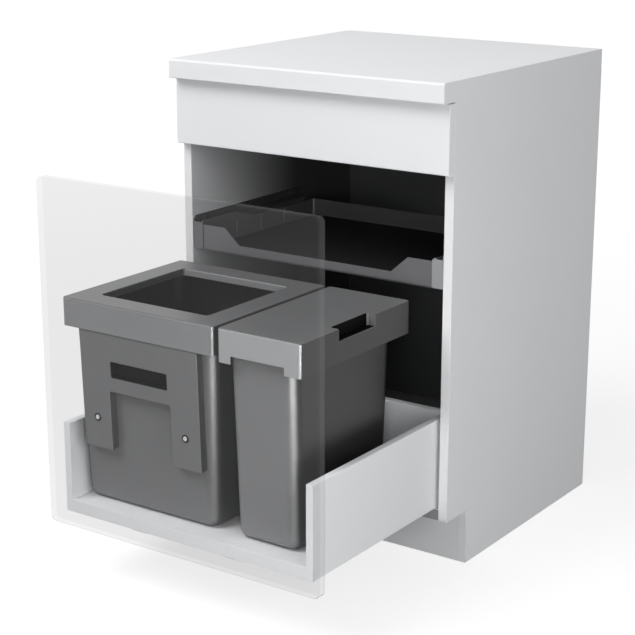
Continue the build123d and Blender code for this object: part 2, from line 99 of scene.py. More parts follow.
class Finish:  # one material with a Principled surface
    def __init__(self, name, **surface):
        self.material = bpy.data.materials.new(name)
        self.material.use_nodes = True
        self.tree = self.material.node_tree
        self.shader = self.tree.nodes["Principled BSDF"]
        self.place = self.node("TexCoord")["Object"]
        self.set(**surface)

    def node(self, kind, settings=None, numbered=None, **sockets):
        step = self.tree.nodes.new("ShaderNode" + kind)
        for key, value in (settings or {}).items():
            setattr(step, key, value)
        for key, value in (numbered or {}).items():
            plug(self.tree, step.inputs[key], value)
        for key, value in sockets.items():
            plug(self.tree, step.inputs[key.replace("_", " ")], value)
        return {out.name: Wire(self.tree, out) for out in step.outputs if out.enabled}

    def set(self, **sockets):
        for key, value in sockets.items():
            plug(self.tree, self.shader.inputs[key.replace("_", " ")], value)

    def noise(self, scale, detail):
        return self.node("TexNoise", Vector=self.place, Scale=scale, Detail=detail, Roughness=0.5)["Fac"]

    def blend(self, amount, first, second):  # 0, 6 and 7 are the colour mix's factor, A and B
        return self.node("Mix", {"data_type": "RGBA"}, {0: amount, 6: first, 7: second})["Result"]

    def facing(self, axis):  # how far the surface looks along an axis, -1 to 1
        return self.node("SeparateXYZ", Vector=self.node("TexCoord")["Normal"])[axis]

    def bump(self, height, strength, distance):
        self.set(Normal=self.node("Bump", Height=height, Strength=strength, Distance=distance)["Normal"])


def grey(level, tint=(1, 1, 1)):  # screen level 0 to 255, as a linear colour
    share = level / 255
    linear = share / 12.92 if share <= 0.04045 else ((share + 0.055) / 1.055) ** 2.4
    return tuple(linear * part for part in tint)


# finishes: levels are screen levels, 0 to 255, and lengths are in metres

cool = (0.99, 1.0, 1.02)
cloudLook = {"scale": 6, "detail": 2}
boardLook = {
    "white": 238, "paintedFrontLight": 252, "inner": 212, "deep": 72, "back": 92, "change": 2,
    "nearAt": -0.08, "deepAt": 0.26, "backPlane": 0.4715, "innerX": 0.2824, "paintedLightTurn": -0.9,
    "roughness": 0.45, "glossChange": 0.08, "specular": 0.18,
    "grain": 420, "detail": 2, "bump": 0.04, "bumpDepth": 0.0002,
}
clearLook = {
    "roughness": 0.5, "level": 96, "alpha": 0.115,
    "edgeLevel": 64, "edgeAlpha": 0.44, "sideLevel": 200, "sideAlpha": 0.07,
}
plasticLook = {
    "change": 3, "coat": 0.24, "coatRoughness": 0.34, "turnFrom": 0.45, "turnTo": 0.95,
    "grain": 700, "detail": 2, "grainGloss": 0.1, "cloudGloss": 0.06, "bump": 0.05, "bumpDepth": 0.0002,
}
steelLook = {
    "darker": 14, "lighter": 8, "metallic": 0.9, "brush": 300, "detail": 3, "stretch": (1, 0.04, 1),
    "glossChange": 0.16, "bump": 0.05, "bumpDepth": 0.0001,
}
matLook = {
    "level": 14, "dotLevel": 22, "dots": 170, "dotSize": 0.3, "roughness": 0.8, "specular": 0.2,
    "bump": 0.3, "bumpDepth": 0.0004,
}


def speckle(finish, level, change, tint=cool):  # a colour with faint clouds, and the clouds
    cloud = finish.noise(cloudLook["scale"], cloudLook["detail"])
    return finish.blend(cloud, grey(level - change, tint), grey(level + change, tint)), cloud


def boardTone(finish, key):
    return speckle(finish, boardLook[key], boardLook["change"])[0]


def laminate(name, level, roughness=boardLook["roughness"]):
    # melamine faced board: even colour, a faint orange peel and a slightly uneven gloss
    finish = Finish(name, Specular_IOR_Level=boardLook["specular"])
    colour, cloud = speckle(finish, level, boardLook["change"])
    peel = finish.noise(boardLook["grain"], boardLook["detail"])
    uneven = boardLook["glossChange"]
    finish.set(Base_Color=colour, Roughness=roughness + uneven * (peel - 0.5) + uneven * (cloud - 0.5))
    finish.bump(peel, boardLook["bump"], boardLook["bumpDepth"])
    return finish


def paintedShadeBoard(name):
    # white outside and on the edges; the face towards the inside carries painted shade, greyer away from the
    # opening
    finish = laminate(name, boardLook["white"])
    place = finish.node("SeparateXYZ", Vector=finish.place)
    limits = {"From_Min": boardLook["nearAt"], "From_Max": boardLook["deepAt"]}
    share = finish.node("MapRange", Value=place["Y"], **limits)["Result"]
    inside = finish.blend(share, boardTone(finish, "inner"), boardTone(finish, "deep"))
    isInside = abs(place["X"]) < boardLook["innerX"]
    finish.set(Base_Color=finish.blend(isInside, boardTone(finish, "white"), inside))
    return finish


def drawerBoard(name):
    # white board whose faces towards the front are whiter: painted light
    finish = laminate(name, boardLook["white"])
    isFront = finish.facing("Y") < boardLook["paintedLightTurn"]
    finish.set(Base_Color=finish.blend(isFront, boardTone(finish, "white"), boardTone(finish, "paintedFrontLight")))
    return finish


def backBoard(name):
    # painted shade: dark towards the case, white towards the wall
    finish = laminate(name, boardLook["back"])
    isOutside = finish.node("SeparateXYZ", Vector=finish.place)["Y"] > boardLook["backPlane"]
    finish.set(Base_Color=finish.blend(isOutside, boardTone(finish, "back"), boardTone(finish, "white")))
    return finish


def moulded(name, level, roughness, front=None, top=None, tint=cool, specular=0.25, coat=1):
    # moulded plastic: fine spark eroded grain, flow clouds in colour and gloss, and painted light: lighter
    # tones on fronts and tops
    finish = Finish(name, Specular_IOR_Level=specular)
    finish.set(Coat_Weight=plasticLook["coat"] * coat, Coat_Roughness=plasticLook["coatRoughness"])
    colour, cloud = speckle(finish, level, plasticLook["change"], tint)
    limits = {"From_Min": plasticLook["turnFrom"], "From_Max": plasticLook["turnTo"]}
    for paintedLightLevel, towards in ((front, -1 * finish.facing("Y")), (top, finish.facing("Z"))):
        if paintedLightLevel is not None:
            mask = finish.node("MapRange", {"interpolation_type": "SMOOTHSTEP"}, Value=towards, **limits)
            paintedLightTone = speckle(finish, paintedLightLevel, plasticLook["change"], tint)[0]
            colour = finish.blend(mask["Result"], colour, paintedLightTone)
    grain = finish.noise(plasticLook["grain"], plasticLook["detail"])
    gloss = plasticLook["grainGloss"] * (grain - 0.5) + plasticLook["cloudGloss"] * (cloud - 0.5)
    finish.set(Base_Color=colour, Roughness=roughness + gloss)
    finish.bump(grain, plasticLook["bump"], plasticLook["bumpDepth"])
    return finish


def brushedSteel(name, level, roughness):
    finish = Finish(name, Metallic=steelLook["metallic"])
    streak = finish.node("Mapping", Vector=finish.place, Scale=steelLook["stretch"])["Vector"]
    pattern = {"Scale": steelLook["brush"], "Detail": steelLook["detail"]}
    brush = finish.node("TexNoise", Vector=streak, **pattern)["Fac"]
    dark, light = grey(level - steelLook["darker"]), grey(level + steelLook["lighter"])
    finish.set(Base_Color=finish.blend(brush, dark, light))
    finish.set(Roughness=roughness + steelLook["glossChange"] * (brush - 0.5))
    finish.bump(brush, steelLook["bump"], steelLook["bumpDepth"])
    return finish


def seeThrough(name, level, alpha):
    finish = laminate(name, level, clearLook["roughness"])
    finish.set(Alpha=alpha)
    return finish


def dottedRubber(name):
    finish = Finish(name, Roughness=matLook["roughness"], Specular_IOR_Level=matLook["specular"])
    grid = {"Scale": matLook["dots"], "Randomness": 0.0}
    dot = finish.node("TexVoronoi", Vector=finish.place, **grid)["Distance"] < matLook["dotSize"]
    finish.set(Base_Color=finish.blend(dot, grey(matLook["level"]), grey(matLook["dotLevel"])))
    finish.bump(dot, matLook["bump"], matLook["bumpDepth"])
    return finish


finishes = {
    "case": paintedShadeBoard("caseBoard"),
    # grey for the boards inside the case: painted shade
    "inner": laminate("innerBoard", 150),
    "back": backBoard("backBoard"),
    "white": laminate("whiteBoard", boardLook["white"]),
    "plinth": laminate("plinthBoard", 236),
    "worktop": laminate("worktopLaminate", boardLook["white"], 0.4),
    "clear": seeThrough("seeThroughFront", clearLook["level"], clearLook["alpha"]),
    "clearEdge": seeThrough("seeThroughEdge", clearLook["edgeLevel"], clearLook["edgeAlpha"]),
    "clearSide": seeThrough("seeThroughSide", clearLook["sideLevel"], clearLook["sideAlpha"]),
    "drawer": drawerBoard("drawerBoard"),
    "steel": brushedSteel("trayRunnerZinc", 92, 0.42),
    "coated": laminate("coatedRunner", 236, 0.35),
    "screw": brushedSteel("screwSteel", 215, 0.3),
    "angle": laminate("paintedAngle", 236, 0.35),
    "bracket": moulded("bracketPaint", 150, 0.45, coat=0),
    # the far bracket is a darker copy of the bracket paint: painted shade
    "farBracket": moulded("farBracketPaintedShade", 52, 0.5, coat=0),
    "clip": moulded("clipPlastic", 232, 0.45),
    # front= and top= paint light: fronts and tops get lighter tones of their own, and the first level is the
    # darker tone of the sides; the bins, plate and caps are lit and shaded copies of one grey plastic
    "tray": moulded("trayPlastic", 84, 0.42, front=102, tint=(1, 0.98, 1.04)),
    "mat": dottedRubber("trayMat"),
    "bin": moulded("binPlastic", 56, 0.34, front=119, top=92),
    "plate": moulded("platePlastic", 64, 0.34, front=119, top=92),
    "narrowBin": moulded("narrowBinPlastic", 24, 0.34, front=131, top=92),
    "cap": moulded("capPlastic", 60, 0.34, front=143, top=104),
    "lid": moulded("lidPlastic", 34, 0.34, front=175, top=108),
    # the bins' insides, near black: painted shade
    "inside": moulded("binInsidePaintedShade", 26, 0.35, specular=0.08, coat=0),
    # near black for the pocket behind the slot: painted shade; the pins take it round their heads
    "dark": moulded("darkRecess", 14, 0.5, specular=0.05, coat=0),
    # the lid's grip recess, black, and its paler ends: painted shade
    "grip": moulded("lidGripPaintedShade", 4, 0.6, specular=0.03, coat=0),
    "gripEnd": moulded("lidGripEndPaintedShade", 98, 0.55, specular=0.1, coat=0),
    "pin": moulded("pinPlastic", 225, 0.25, specular=0.5),
}

byFinish = {
    "case": ["side_panel_left", "side_panel_right"],
    "inner": ["bottom_panel", "rear_rail", "front_rail"],
    "back": ["back_panel"],
    "white": ["fixed_front", "wall_rail"],
    "plinth": ["plinth_board"],
    "worktop": ["worktop"],
    "clear": ["drawer_front"],
    "drawer": ["drawer_side_left", "drawer_side_right", "drawer_floor", "drawer_back"],
    "steel": ["runner_screws"] + [name for name in nodes if name.startswith("tray_runner")],
    "coated": [name for name in nodes if name.startswith("drawer_runner")],
    "screw": ["worktop_screws", "worktop_angles", "fixed_front_screws"],
    "angle": ["front_angles"],
    "bracket": ["tray_bracket_right"],
    "farBracket": ["tray_bracket_left"],
    "clip": ["locking_clips"],
    "tray": ["tray_shell"],
    "mat": ["tray_mat"],
    "bin": ["large_bin"],
    "plate": ["handle_plate"],
    "narrowBin": ["small_bin"],
    "cap": ["bag_frame"],
    "lid": ["small_lid"],
    "pin": ["handle_pins"],
}


def dress(piece, finishName):
    piece.data.materials.clear()
    piece.data.materials.append(finishes[finishName].material)


def dressWhere(piece, finishName, test):  # a second finish on the faces that pass the test
    piece.data.materials.append(finishes[finishName].material)
    place = len(piece.data.materials) - 1
    for face in piece.data.polygons:
        if test(face):
            face.material_index = place


for finishName, names in byFinish.items():
    for name in names:
        dress(nodes[name], finishName)
print("finishes ready")


# modelling by hand, in code

kinds = {"faces": "FACE", "edges": "EDGE"}
slack = 0.0001  # nearer than this is the same place, in metres


def objectMode():
    if bpy.context.mode != "OBJECT":
        bpy.ops.object.mode_set(mode="OBJECT")


def clearSelection():
    objectMode()
    bpy.ops.object.select_all(action="DESELECT")


def addBlock(name, low, high):  # a cube stretched between two corners
    clearSelection()
    middle = [(first + last) / 2 for first, last in zip(low, high)]
    bpy.ops.mesh.primitive_cube_add(size=1, location=middle)
    piece = bpy.context.object
    piece.name = name
    piece.scale = [last - first for first, last in zip(low, high)]
    bpy.ops.object.transform_apply(location=True, rotation=True, scale=True)
    return piece


def pick(piece, kind, test):  # what passes the test is selected in edit mode
    bpy.context.view_layer.objects.active = piece
    piece.select_set(True)
    if bpy.context.mode != "EDIT_MESH":
        bpy.ops.object.mode_set(mode="EDIT")
    bpy.ops.mesh.select_mode(type=kinds[kind])
    bpy.ops.mesh.select_all(action="DESELECT")
    mesh = bmesh.from_edit_mesh(piece.data)
    mesh.normal_update()
    found = [part for part in getattr(mesh, kind) if test(part)]
    for part in found:
        part.select_set(True)
    mesh.select_flush_mode()
    bmesh.update_edit_mesh(piece.data)
    return len(found)


def anything(part):
    return True


def middleOf(part):
    return sum((vert.co for vert in part.verts), Vector()) / len(part.verts)


def near(value, *places):
    return min(abs(value - place) for place in places) < slack


def runsAlong(edge, axis, share=0.98):
    step = edge.verts[1].co - edge.verts[0].co
    return abs(step["XYZ".index(axis)]) > share * step.length


def facing(direction, share=0.95):  # tests for faces that look along a direction
    aim = Vector(direction)
    return lambda face: face.normal.dot(aim) > share


def sharp(degrees):  # tests for edges where two faces meet at more than an angle
    return lambda edge: len(edge.link_faces) == 2 and edge.calc_face_angle(0) > math.radians(degrees)


def bevel(width, steps):
    bpy.ops.mesh.bevel(
        offset=width, offset_type="OFFSET", segments=steps, affect="EDGES", clamp_overlap=True,
    )


def extrude(move=(0, 0, 0)):
    bpy.ops.mesh.extrude_region_move(TRANSFORM_OT_translate={"value": move})


def stretch(middle, shares):
    bpy.ops.transform.resize(value=(*shares, 1), center_override=(middle[0], middle[1], middle[2]))


def bisect(piece, test, point, normal):
    if pick(piece, "faces", test):
        bpy.ops.mesh.bisect(plane_co=point, plane_no=normal)


def erase(piece, kind, test):
    if pick(piece, kind, test):
        bpy.ops.mesh.delete(type=kinds[kind])


def joinAll(pieces, name):  # into the first one
    clearSelection()
    for piece in pieces:
        piece.select_set(True)
    bpy.context.view_layer.objects.active = pieces[0]
    bpy.ops.object.join()
    pieces[0].name = name
    return pieces[0]


def applyModifier(piece, kind, **settings):
    objectMode()
    bpy.context.view_layer.objects.active = piece
    modifier = piece.modifiers.new(kind.lower(), kind)
    for key, value in settings.items():
        setattr(modifier, key, value)
    bpy.ops.object.modifier_apply(modifier=modifier.name)


def giveWall(piece, thickness):
    pick(piece, "faces", anything)
    bpy.ops.mesh.remove_doubles(threshold=slack / 10)
    bpy.ops.mesh.normals_make_consistent(inside=False)
    applyModifier(piece, "SOLIDIFY", thickness=thickness, offset=-1, use_even_offset=True)


def finishPiece(piece, body, finishName, replaced=(), smoothAngle=40):
    clearSelection()
    piece.select_set(True)
    bpy.context.view_layer.objects.active = piece
    bpy.ops.object.shade_smooth_by_angle(angle=math.radians(smoothAngle))
    applyModifier(piece, "WEIGHTED_NORMAL", keep_sharp=True, weight=100)
    dress(piece, finishName)
    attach(piece, body)
    if replaced:
        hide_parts(*replaced)
    print("made", piece.name, len(piece.data.polygons))


# worktop

worktopShape = {"noseRound": 0.005, "noseSteps": 8, "edgeRound": 0.0012, "edgeSteps": 3}


def makeWorktop():
    low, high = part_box("worktop")
    piece = addBlock("worktopSlab", low, high)

    def isNose(edge):  # the long upper front edge
        middle = middleOf(edge)
        return runsAlong(edge, "X") and near(middle.y, low.y) and near(middle.z, high.z)

    def isFlush(edge):  # the lower side and back edges stay sharp, in line with the case
        middle = middleOf(edge)
        return near(middle.z, low.z) and not near(middle.y, low.y)

    pick(piece, "edges", isNose)
    bevel(worktopShape["noseRound"], worktopShape["noseSteps"])
    pick(piece, "edges", lambda edge: sharp(50)(edge) and not isFlush(edge))
    bevel(worktopShape["edgeRound"], worktopShape["edgeSteps"])
    finishPiece(piece, "cabinet", "worktop", ["worktop"])


makeWorktop()

# fixed upper front

upperFrontShape = {"reach": 0.3, "round": 0.0018, "steps": 4}


def makeUpperFront():  # flush with the case sides, eased round its face
    low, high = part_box("fixed_front")
    low.x, high.x = -upperFrontShape["reach"], upperFrontShape["reach"]
    piece = addBlock("upperFront", low, high)
    pick(piece, "edges", lambda edge: near(middleOf(edge).y, low.y))
    bevel(upperFrontShape["round"], upperFrontShape["steps"])
    finishPiece(piece, "cabinet", "white", ["fixed_front"])


makeUpperFront()

# drawer front, drawn see-through

clearFrontShape = {"back": -0.4680, "corner": 0.011, "cornerSteps": 6, "edgeRound": 0.0022, "edgeSteps": 4}


def makeClearFront():
    low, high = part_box("drawer_front")
    high.y = clearFrontShape["back"]
    piece = addBlock("clearDrawerFront", low, high)
    pick(piece, "edges", lambda edge: runsAlong(edge, "Y"))
    bevel(clearFrontShape["corner"], clearFrontShape["cornerSteps"])
    pick(piece, "edges", sharp(50))
    bevel(clearFrontShape["edgeRound"], clearFrontShape["edgeSteps"])
    finishPiece(piece, "drawer", "clear", ["drawer_front"])
    piece.visible_shadow = False

    def isSide(face):
        return abs(face.normal.y) < 0.1

    def onOutline(face):  # painted shade: the rounded lower front edge and the rounded right back edge are darker
        lowerFront = -0.97 < face.normal.y < -0.1 and face.normal.z < -0.2
        rightBack = 0.1 < face.normal.y < 0.97 and face.normal.x > 0.2
        return lowerFront or rightBack

    # painted light: the side faces are paler and more see-through
    dressWhere(piece, "clearSide", isSide)
    dressWhere(piece, "clearEdge", onOutline)


makeClearFront()

# white strip that covers the front ends of the fittings under the drawer floor

apronShape = {
    "low": (-0.2740, -0.4679, 0.1270), "high": (0.2740, -0.4671, 0.1509), "round": 0.0003, "steps": 2,
}


def makeApron():
    piece = addBlock("drawerApron", apronShape["low"], apronShape["high"])
    pick(piece, "edges", sharp(50))
    bevel(apronShape["round"], apronShape["steps"])
    finishPiece(piece, "drawer", "drawer")


makeApron()

# bins

wideBinShape = {
    "middleX": -0.104, "width": 0.318, "depth": 0.298, "sideDraft": 0.010, "frontDraft": 0.014,
    "corner": 0.022, "cornerSteps": 10, "foot": 0.017, "footSteps": 8, "innerSteps": 6,
    "wall": 0.0025, "floor": 0.003, "rim": 0.003, "footRing": 0.022, "footDepth": 0.0016, "darkFloor": 0.05,
}
narrowBinShape = dict(wideBinShape, middleX=0.154, width=0.138, sideDraft=0.003)


def makeBin(name, node, shape, finishName):
    low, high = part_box(node)
    middleX = shape["middleX"]
    middleY = (low.y + high.y) / 2
    shoulder = high.z - shape["rim"]
    halfWidth, halfDepth = shape["width"] / 2, shape["depth"] / 2
    start = (middleX - halfWidth, middleY - halfDepth, low.z)
    piece = addBlock(name, start, (middleX + halfWidth, middleY + halfDepth, shoulder))
    foot = (middleX, middleY, low.z)
    narrow = (1 - shape["sideDraft"] / halfWidth, 1 - shape["frontDraft"] / halfDepth)
    pick(piece, "faces", facing((0, 0, -1)))
    stretch(foot, narrow)
    pick(piece, "edges", lambda edge: runsAlong(edge, "Z", 0.9))
    bevel(shape["corner"], shape["cornerSteps"])
    pick(piece, "edges", lambda edge: near(middleOf(edge).z, low.z) and sharp(50)(edge))
    bevel(shape["foot"], shape["footSteps"])
    pick(piece, "faces", facing((0, 0, -1), 0.999))
    bpy.ops.mesh.inset(thickness=shape["footRing"], depth=-shape["footDepth"])
    # the flat rim stands out all round, then the mouth goes down to the floor
    top = (middleX, middleY, shoulder)
    rimMiddle = ((low.x + high.x) / 2, middleY, shoulder)
    shift = rimMiddle[0] - middleX
    rimWidth, rimDepth = high.x - low.x, high.y - low.y
    mouth = (shape["width"] - 2 * shape["wall"], shape["depth"] - 2 * shape["wall"])
    floorZ = low.z + shape["floor"]
    pick(piece, "faces", facing((0, 0, 1), 0.999))
    extrude()
    stretch(top, (rimWidth / shape["width"], rimDepth / shape["depth"]))
    bpy.ops.transform.translate(value=(shift, 0, 0))
    extrude((0, 0, shape["rim"]))
    extrude()
    stretch(rimMiddle, (mouth[0] / rimWidth, mouth[1] / rimDepth))
    bpy.ops.transform.translate(value=(-shift, 0, 0))
    extrude((0, 0, floorZ - high.z))
    stretch(foot, narrow)
    pick(piece, "edges", lambda edge: near(middleOf(edge).z, floorZ) and sharp(50)(edge))
    bevel(shape["foot"] - shape["wall"], shape["innerSteps"])
    finishPiece(piece, node, finishName, [node])

    def looksInwards(face):
        outwards = Vector((face.center.x - middleX, face.center.y - middleY)).dot(face.normal.xy)
        onFloor = face.normal.z > 0.5 and face.center.z < low.z + shape["darkFloor"]
        return outwards < -0.001 or onFloor

    # the inner walls and the floor low in the bin take a near black finish: painted shade
    dressWhere(piece, "inside", looksInwards)


makeBin("wideBin", "large_bin", wideBinShape, "bin")
makeBin("narrowBin", "small_bin", narrowBinShape, "narrowBin")

# caps: the bag frame and the lid

capShape = {"corner": 0.007, "cornerSteps": 6, "topRound": 0.003, "topSteps": 4, "wall": 0.003}


def addCap(name, node):  # box open below
    low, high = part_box(node)
    piece = addBlock(name, low, high)
    erase(piece, "faces", facing((0, 0, -1)))
    return piece, low, high


def roundCap(piece, low, high):
    def isOuterCorner(edge):
        middle = middleOf(edge)
        return runsAlong(edge, "Z") and near(middle.x, low.x, high.x) and near(middle.y, low.y, high.y)

    pick(piece, "edges", isOuterCorner)
    bevel(capShape["corner"], capShape["cornerSteps"])
    pick(piece, "edges", lambda edge: near(middleOf(edge).z, high.z) and sharp(60)(edge))
    bevel(capShape["topRound"], capShape["topSteps"])


bagFrameShape = {"border": 0.049, "lip": 0.013, "corner": 0.008, "cornerSteps": 6}


def makeBagFrame():
    piece, low, high = addCap("bagClampFrame", "bag_frame")
    pick(piece, "faces", facing((0, 0, 1)))
    bpy.ops.mesh.inset(thickness=bagFrameShape["border"])
    extrude((0, 0, -bagFrameShape["lip"]))
    bpy.ops.mesh.delete(type="FACE")
    mouth = (low.x + bagFrameShape["border"], high.x - bagFrameShape["border"])
    pick(piece, "edges", lambda edge: runsAlong(edge, "Z") and near(middleOf(edge).x, *mouth))
    bevel(bagFrameShape["corner"], bagFrameShape["cornerSteps"])
    roundCap(piece, low, high)
    giveWall(piece, capShape["wall"])
    finishPiece(piece, "bag_frame", "cap", ["bag_frame"])


lidShape = {
    "stepLow": 0.105, "stepHigh": 0.214, "step": 0.014,
    "gripDepth": 0.018, "gripDrop": 0.022, "gripLip": 0.003,
    "gripLow": -0.3555, "gripHigh": -0.2435, "gripRound": 0.005, "gripSteps": 4,
}


def cutSkirt(piece, low):  # the front and back skirts are shorter in the middle
    stepTop = low.z + lidShape["step"]

    def isEnd(face):
        return abs(face.normal.y) > 0.99

    def inStep(face):
        middle = middleOf(face)
        return isEnd(face) and lidShape["stepLow"] < middle.x < lidShape["stepHigh"] and middle.z < stepTop

    for x in (lidShape["stepLow"], lidShape["stepHigh"]):
        bisect(piece, isEnd, (x, 0, 0), (1, 0, 0))
    bisect(piece, isEnd, (0, 0, stepTop), (0, 0, 1))
    erase(piece, "faces", inStep)


def cutGrip(piece, low, high):  # finger recess in the right edge
    gripX = high.x - lidShape["gripDepth"]
    gripZ = high.z - lidShape["gripDrop"]
    ends = (lidShape["gripLow"], lidShape["gripHigh"])

    def nearGrip(face):
        return middleOf(face).x > low.x + 0.01

    def inGrip(face):
        middle = middleOf(face)
        return ends[0] < middle.y < ends[1] and middle.x > gripX and middle.z > gripZ

    def onEnd(vert, y):
        return near(vert.co.y, y) and vert.co.x > gripX - slack and vert.co.z > gripZ - slack

    def isBackLine(edge):
        middle = middleOf(edge)
        return edge.is_boundary and runsAlong(edge, "Y") and near(middle.x, gripX) and middle.z > gripZ

    def isBackCorner(edge):
        middle = middleOf(edge)
        return runsAlong(edge, "Z") and near(middle.y, *ends) and near(middle.x, gripX)

    def isGripFloor(face):
        return face.normal.z > 0.9 and near(middleOf(face).z, gripZ)

    for y in ends:
        bisect(piece, nearGrip, (0, y, 0), (0, 1, 0))
    bisect(piece, facing((0, 0, 1)), (gripX, 0, 0), (1, 0, 0))
    bisect(piece, facing((1, 0, 0)), (0, 0, gripZ), (0, 0, 1))
    erase(piece, "faces", inGrip)
    pick(piece, "edges", isBackLine)
    extrude((0, 0, -lidShape["gripDrop"]))
    extrude((lidShape["gripDepth"], 0, 0))
    pick(piece, "faces", anything)
    bpy.ops.mesh.remove_doubles(threshold=slack / 5)
    for y in ends:
        pick(piece, "edges", lambda edge: edge.is_boundary and all(onEnd(vert, y) for vert in edge.verts))
        bpy.ops.mesh.edge_face_add()
    pick(piece, "edges", isBackCorner)
    bevel(lidShape["gripRound"], lidShape["gripSteps"])
    bisect(piece, isGripFloor, (high.x - lidShape["gripLip"], 0, 0), (1, 0, 0))


def dressGrip(piece, high):  # painted shade: near black, with paler grey ends
    backX = high.x - lidShape["gripDepth"] - 0.001
    lipX = high.x - lidShape["gripLip"] - 0.0005
    floorZ = high.z - lidShape["gripDrop"] - 0.001
    topZ = high.z - capShape["topRound"]

    def inGrip(face):
        inY = lidShape["gripLow"] - 0.0005 < face.center.y < lidShape["gripHigh"] + 0.0005
        return inY and backX < face.center.x < lipX and floorZ < face.center.z < topZ

    dressWhere(piece, "grip", lambda face: inGrip(face) and abs(face.normal.y) < 0.4)
    dressWhere(piece, "gripEnd", lambda face: inGrip(face) and abs(face.normal.y) >= 0.4)


def makeLid():
    piece, low, high = addCap("narrowBinLid", "small_lid")
    roundCap(piece, low, high)
    cutSkirt(piece, low)
    cutGrip(piece, low, high)
    giveWall(piece, capShape["wall"])
    finishPiece(piece, "small_lid", "lid", ["small_lid"])
    dressGrip(piece, high)


makeBagFrame()
makeLid()

# handle plate with its grip slot, and the two pins

plateShape = {
    "low": -0.2335, "high": 0.0315, "leg": 0.064, "barBottom": 0.372, "hingeIn": 0.004,
    "slotWidth": 0.128, "slotLow": 0.398, "slotHigh": 0.428, "slotCorner": 0.003, "slotSteps": 4,
    "stand": 0.016, "corner": 0.003, "cornerSteps": 6, "frontRound": 0.0016, "frontSteps": 4, "wall": 0.0025,
    "lean": math.atan2(0.014, 0.3797), "pocketWall": 0.0008, "pocketShort": 0.002,
}


def plateLine():  # the plate's front at half height, about which it leans
    low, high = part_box("handle_plate")
    middleX = (plateShape["low"] + plateShape["high"]) / 2
    return Vector((middleX, low.y + plateShape["hingeIn"], (low.z + high.z) / 2)), high.z - low.z


def leanPlate(piece, hinge):  # back to the draft of the bin's front
    pick(piece, "faces", anything)
    bpy.ops.transform.rotate(value=-plateShape["lean"], orient_axis="X", center_override=hinge)


def makeHandlePlate():
    hinge, height = plateLine()
    clearSelection()
    bpy.ops.mesh.primitive_plane_add(size=1, location=hinge, rotation=(math.pi / 2, 0, 0))
    piece = bpy.context.object
    piece.name = "handlePlateShell"
    piece.scale = (plateShape["high"] - plateShape["low"], height, 1)
    bpy.ops.object.transform_apply(location=True, rotation=True, scale=True)
    barBottom = plateShape["barBottom"]
    back = hinge.y + plateShape["stand"]
    legs = (plateShape["low"] + plateShape["leg"], plateShape["high"] - plateShape["leg"])
    slot = (hinge.x - plateShape["slotWidth"] / 2, hinge.x + plateShape["slotWidth"] / 2)
    slotRow = (plateShape["slotLow"], plateShape["slotHigh"])

    def inLegRow(face):
        return middleOf(face).z < barBottom

    def inSlotRow(face):
        return slotRow[0] < middleOf(face).z < slotRow[1]

    def isOpen(face):
        x = middleOf(face).x
        return legs[0] < x < legs[1] and inLegRow(face) or slot[0] < x < slot[1] and inSlotRow(face)

    def isSlotCorner(edge):
        middle = middleOf(edge)
        return runsAlong(edge, "Y") and near(middle.x, *slot) and near(middle.z, *slotRow)

    for z in (barBottom, *slotRow):
        bisect(piece, anything, (0, 0, z), (0, 0, 1))
    for x in legs:
        bisect(piece, inLegRow, (x, 0, 0), (1, 0, 0))
    for x in slot:
        bisect(piece, inSlotRow, (x, 0, 0), (1, 0, 0))
    erase(piece, "faces", isOpen)
    pick(piece, "faces", anything)
    extrude((0, plateShape["stand"], 0))
    erase(piece, "faces", lambda face: near(middleOf(face).y, back))
    pick(piece, "edges", isSlotCorner)
    bevel(plateShape["slotCorner"], plateShape["slotSteps"])
    pick(piece, "edges", lambda edge: runsAlong(edge, "Y") and sharp(80)(edge))
    bevel(plateShape["corner"], plateShape["cornerSteps"])
    pick(piece, "edges", lambda edge: near(middleOf(edge).y, hinge.y) and sharp(70)(edge))
    bevel(plateShape["frontRound"], plateShape["frontSteps"])
    giveWall(piece, plateShape["wall"])
    leanPlate(piece, hinge)
    finishPiece(piece, "large_bin", "plate", ["handle_plate"])


def makeGripPocket():  # a near black pocket behind the slot: painted shade
    hinge, height = plateLine()
    half = plateShape["slotWidth"] / 2
    front = hinge.y + plateShape["frontRound"]
    back = hinge.y + plateShape["stand"] - plateShape["pocketShort"]
    start = (hinge.x - half, front, plateShape["slotLow"])
    piece = addBlock("gripPocket", start, (hinge.x + half, back, plateShape["slotHigh"]))
    erase(piece, "faces", facing((0, -1, 0)))
    pick(piece, "edges", lambda edge: runsAlong(edge, "Y"))
    bevel(plateShape["slotCorner"], plateShape["slotSteps"])
    giveWall(piece, plateShape["pocketWall"])
    leanPlate(piece, hinge)
    finishPiece(piece, "large_bin", "dark")


pinShape = {
    "sides": 40, "radius": 0.007, "thick": 0.003, "ring": 0.0014, "groove": 0.0009, "grooveSlope": 0.0003,
    "head": 0.0042, "dimple": 0.0016, "dimpleSlope": 0.0002, "dimpleDepth": 0.0006,
    "edge": 0.0004, "edgeSteps": 3,
}


